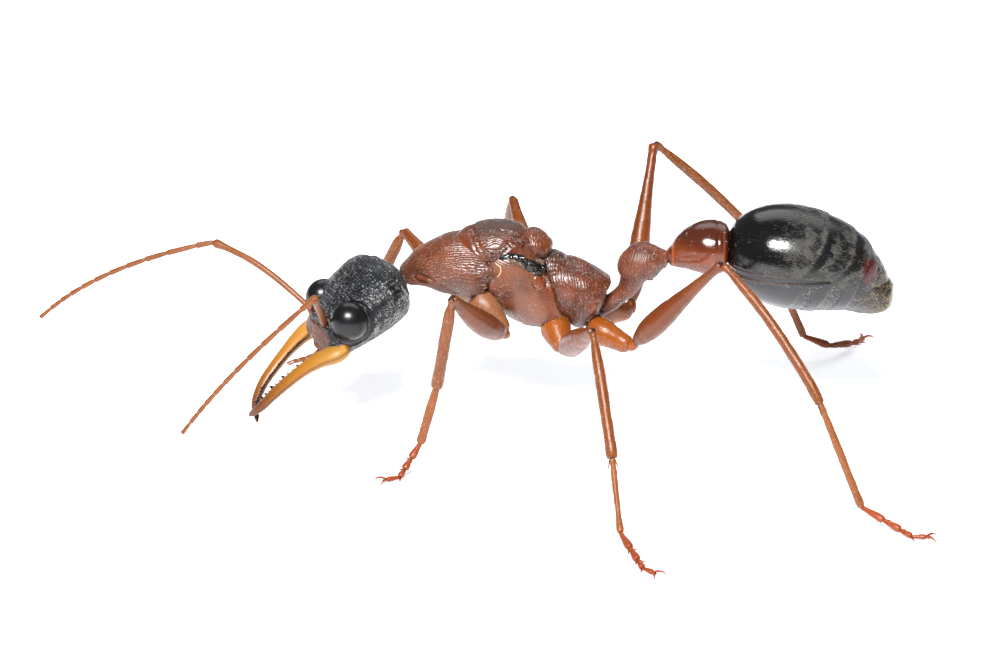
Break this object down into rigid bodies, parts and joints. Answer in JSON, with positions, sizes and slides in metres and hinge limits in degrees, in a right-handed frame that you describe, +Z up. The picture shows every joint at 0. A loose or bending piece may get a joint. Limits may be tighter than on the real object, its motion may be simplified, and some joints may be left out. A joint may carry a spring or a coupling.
{
  "type": "queen bull ant model",
  "caption": "Life-size still model of a long-jawed ant standing on six legs, with elbowed feelers, two waist joints and a ringed gaster.",
  "frame": {"origin": "on the floor, below the middle of the ant's outline seen from above", "axes": "+Z up; the ant faces -Y, and its own left side is +X"},
  "size_m": [0.0238, 0.0314, 0.0091],
  "materials": {
    "head_shell": "satin, finely wrinkled",
    "eye": "polished",
    "jaw": "glossy, slightly clear",
    "trunk_shell": "satin, finely grooved",
    "feeler_shell": "satin",
    "waist_shell": "glossy",
    "gaster_shell": "glossy",
    "coxa_shell": "glossy",
    "leg_shell": "satin to glossy"
  },
  "bodies": {
    "root": {"eye_left": "eye", "eye_right": "eye", "head": "head_shell", "mandible_left": "jaw", "mandible_right": "jaw", "labrum": "trunk_shell", "antenna_left_scape": "feeler_shell", "antenna_left_funiculus": "feeler_shell", "antenna_right_scape": "feeler_shell", "antenna_right_funiculus": "feeler_shell", "mesoscutum": "trunk_shell", "scutellum": "trunk_shell", "pronotum": "trunk_shell", "mesothorax": "trunk_shell", "metanotum": "trunk_shell", "propodeum": "trunk_shell", "petiole": "waist_shell", "postpetiole": "waist_shell", "gaster_1": "gaster_shell", "gaster_2": "gaster_shell", "gaster_3": "gaster_shell", "gaster_4": "gaster_shell", "gaster_5": "gaster_shell", "leg_front_left_trochanter": "coxa_shell", "leg_front_left_coxa": "coxa_shell", "leg_front_left_femur": "leg_shell", "leg_front_left_tibia": "leg_shell", "leg_front_left_basitarsus": "leg_shell", "leg_front_left_tarsus": "leg_shell", "leg_front_right_trochanter": "coxa_shell", "leg_front_right_coxa": "coxa_shell", "leg_front_right_femur": "leg_shell", "leg_front_right_tibia": "leg_shell", "leg_front_right_basitarsus": "leg_shell", "leg_front_right_tarsus": "leg_shell", "leg_middle_left_trochanter": "coxa_shell", "leg_middle_left_coxa": "coxa_shell", "leg_middle_left_femur": "leg_shell", "leg_middle_left_tibia": "leg_shell", "leg_middle_left_basitarsus": "leg_shell", "leg_middle_left_tarsus": "leg_shell", "leg_middle_right_trochanter": "coxa_shell", "leg_middle_right_coxa": "coxa_shell", "leg_middle_right_femur": "leg_shell", "leg_middle_right_tibia": "leg_shell", "leg_middle_right_basitarsus": "leg_shell", "leg_middle_right_tarsus": "leg_shell", "leg_hind_left_trochanter": "coxa_shell", "leg_hind_left_coxa": "coxa_shell", "leg_hind_left_femur": "leg_shell", "leg_hind_left_tibia": "leg_shell", "leg_hind_left_basitarsus": "leg_shell", "leg_hind_left_tarsus": "leg_shell", "leg_hind_right_trochanter": "coxa_shell", "leg_hind_right_coxa": "coxa_shell", "leg_hind_right_femur": "leg_shell", "leg_hind_right_tibia": "leg_shell", "leg_hind_right_basitarsus": "leg_shell", "leg_hind_right_tarsus": "leg_shell"}
  },
  "joints": []
}
